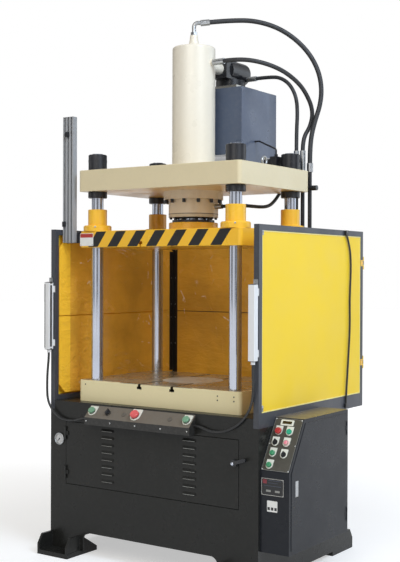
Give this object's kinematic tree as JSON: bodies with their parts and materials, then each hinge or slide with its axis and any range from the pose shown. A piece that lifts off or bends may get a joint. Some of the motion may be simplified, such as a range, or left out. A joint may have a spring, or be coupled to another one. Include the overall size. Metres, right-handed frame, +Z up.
{
  "type": "hydraulic press",
  "caption": "Upright hydraulic press with a moving platen on round columns, a top cylinder, yellow side guards, a cabinet base, a two-hand console and an electrical cabinet",
  "frame": {"origin": "on the floor, at the centre of the four anchor holes in the feet", "axes": "+X to the right of the operator, +Y to the back, +Z up; metres"},
  "size_m": [1.2998, 1.0575, 2.4821],
  "materials": {
    "charcoal_paint": "textured powder coat",
    "beige_paint": "satin",
    "cream_paint": "satin",
    "machined_steel": "brushed",
    "hard_chrome": "ground and polished",
    "black_steel": "blackened",
    "zinc_steel": "zinc plated",
    "slate_paint": "satin",
    "hose_rubber": "matt",
    "cable_jacket": "matt",
    "frame_paint": "satin",
    "yellow_paint": "satin",
    "amber_plastic": "clear tint",
    "bare_aluminium": "anodised",
    "green_plastic": "gloss",
    "red_plastic": "gloss",
    "black_plastic": "matt",
    "lamp_plastic": "lens",
    "pale_plastic": "matt"
  },
  "bodies": {
    "press_frame": {"base_front_plate": "charcoal_paint", "base_shell": "charcoal_paint", "bed": "beige_paint", "cabinet_body": "charcoal_paint", "column_nuts": "black_steel", "columns": "hard_chrome", "console": "charcoal_paint", "crown": "beige_paint", "curtain_cable_left": "cable_jacket", "curtain_cable_right": "cable_jacket", "cylinder_gland": "cream_paint", "ejector_cylinder": "cream_paint", "eye_bolts": "zinc_steel", "feet": "charcoal_paint", "filling_valve": "black_steel", "guard_cable": "cable_jacket", "guard_frame_left": "frame_paint", "guard_frame_right": "frame_paint", "guard_panel_left": "yellow_paint", "guard_panel_right": "yellow_paint", "hose_fittings": "zinc_steel", "hose_lower": "hose_rubber", "hose_pilot": "hose_rubber", "hose_side": "hose_rubber", "hose_top": "hose_rubber", "inner_panels": "amber_plastic", "light_curtains": "bare_aluminium", "main_cylinder": "cream_paint", "oil_pipes": "black_steel", "oil_pump": "black_steel", "oil_tank": "slate_paint", "pilot_lamps": "lamp_plastic", "pressure_gauge": "machined_steel", "pump_motor": "slate_paint", "switchgear_plate": "pale_plastic", "tank_lid": "machined_steel"},
    "press_slide": {"slide": "beige_paint", "guide_sleeves": "black_steel", "ram": "hard_chrome", "ram_flange": "black_steel", "limit_rail": "bare_aluminium", "rail_fittings": "black_steel"},
    "ejector": {"ejector_head": "machined_steel"},
    "service_door": {"front_door": "charcoal_paint"},
    "service_handle": {"door_handle": "machined_steel"},
    "pointer": {"gauge_needle": "red_plastic"},
    "left_palm": {"palm_button_left": "green_plastic"},
    "right_palm": {"palm_button_right": "green_plastic"},
    "stop_button": {"emergency_stop": "red_plastic"},
    "mode_knob": {"console_knob": "black_plastic"},
    "red_button": {"panel_button_red": "red_plastic"},
    "upper_button": {"panel_button_upper": "green_plastic"},
    "lower_button": {"panel_button_lower": "green_plastic"},
    "left_selector": {"panel_selector_left": "black_plastic"},
    "right_selector": {"panel_selector_right": "black_plastic"},
    "electrical_door": {"cabinet_door": "charcoal_paint"},
    "electrical_latch": {"cabinet_latch": "black_plastic"},
    "left_rear_door": {"rear_door_left": "yellow_paint"},
    "right_rear_door": {"rear_door_right": "yellow_paint"},
    "motor_coupling": {"pump_coupling": "machined_steel"}
  },
  "joints": [
    {"name": "ram_stroke", "type": "slide", "parent": "press_frame", "child": "press_slide", "axis": [0, 0, -1], "range_m": [0, 0.45]},
    {"name": "ejector_lift", "type": "slide", "parent": "press_frame", "child": "ejector", "axis": [0, 0, 1], "range_m": [0, 0.12]},
    {"name": "service_door_swing", "type": "hinge", "parent": "press_frame", "child": "service_door", "pos_m": [-0.47375, -0.393, 0.465], "axis": [0, 0, -1], "range_deg": [0, 110]},
    {"name": "service_handle_turn", "type": "hinge", "parent": "service_door", "child": "service_handle", "pos_m": [0.455, -0.3875, 0.512], "axis": [0, 1, 0], "range_deg": [0, 90]},
    {"name": "pointer_sweep", "type": "hinge", "parent": "press_frame", "child": "pointer", "pos_m": [-0.512, -0.3905, 0.525], "axis": [0, 1, 0], "range_deg": [0, 270]},
    {"name": "left_palm_press", "type": "slide", "parent": "press_frame", "child": "left_palm", "axis": [0, 0.7214, -0.6925], "range_m": [0, 0.005], "stiffness_N_per_m": 1500},
    {"name": "right_palm_press", "type": "slide", "parent": "press_frame", "child": "right_palm", "axis": [0, 0.7214, -0.6925], "range_m": [0, 0.005], "stiffness_N_per_m": 1500},
    {"name": "stop_press", "type": "slide", "parent": "press_frame", "child": "stop_button", "axis": [0, 0.7214, -0.6925], "range_m": [0, 0.004]},
    {"name": "mode_turn", "type": "hinge", "parent": "press_frame", "child": "mode_knob", "pos_m": [-0.203, -0.4115, 0.67], "axis": [0, -0.7214, 0.6925], "range_deg": [-45, 45]},
    {"name": "red_press", "type": "slide", "parent": "press_frame", "child": "red_button", "axis": [0, 0.8571, -0.5151], "range_m": [0, 0.003], "stiffness_N_per_m": 1500},
    {"name": "upper_press", "type": "slide", "parent": "press_frame", "child": "upper_button", "axis": [0, 0.8571, -0.5151], "range_m": [0, 0.003], "stiffness_N_per_m": 1500},
    {"name": "lower_press", "type": "slide", "parent": "press_frame", "child": "lower_button", "axis": [0, 0.8571, -0.5151], "range_m": [0, 0.003], "stiffness_N_per_m": 1500},
    {"name": "left_selector_turn", "type": "hinge", "parent": "press_frame", "child": "left_selector", "pos_m": [0.602, -0.30858, 0.60135], "axis": [0, -0.8571, 0.5151], "range_deg": [-45, 45]},
    {"name": "right_selector_turn", "type": "hinge", "parent": "press_frame", "child": "right_selector", "pos_m": [0.657, -0.33434, 0.5585], "axis": [0, -0.8571, 0.5151], "range_deg": [-45, 45]},
    {"name": "electrical_door_swing", "type": "hinge", "parent": "press_frame", "child": "electrical_door", "pos_m": [0.7083, 0.131, 0.429], "axis": [0, 0, 1], "range_deg": [0, 110]},
    {"name": "electrical_latch_lift", "type": "hinge", "parent": "electrical_door", "child": "electrical_latch", "pos_m": [0.7045, -0.312, 0.451], "axis": [0, -1, 0], "range_deg": [0, 60]},
    {"name": "left_rear_swing", "type": "hinge", "parent": "press_frame", "child": "left_rear_door", "pos_m": [-0.566, 0.575, 1.09], "axis": [0, 0, 1], "range_deg": [0, 110]},
    {"name": "right_rear_swing", "type": "hinge", "parent": "press_frame", "child": "right_rear_door", "pos_m": [0.566, 0.575, 1.09], "axis": [0, 0, -1], "range_deg": [0, 110]},
    {"name": "coupling_spin", "type": "hinge", "parent": "press_frame", "child": "motor_coupling", "pos_m": [-0.171, -0.19, 0.382], "axis": [1, 0, 0], "continuous": true}
  ]
}
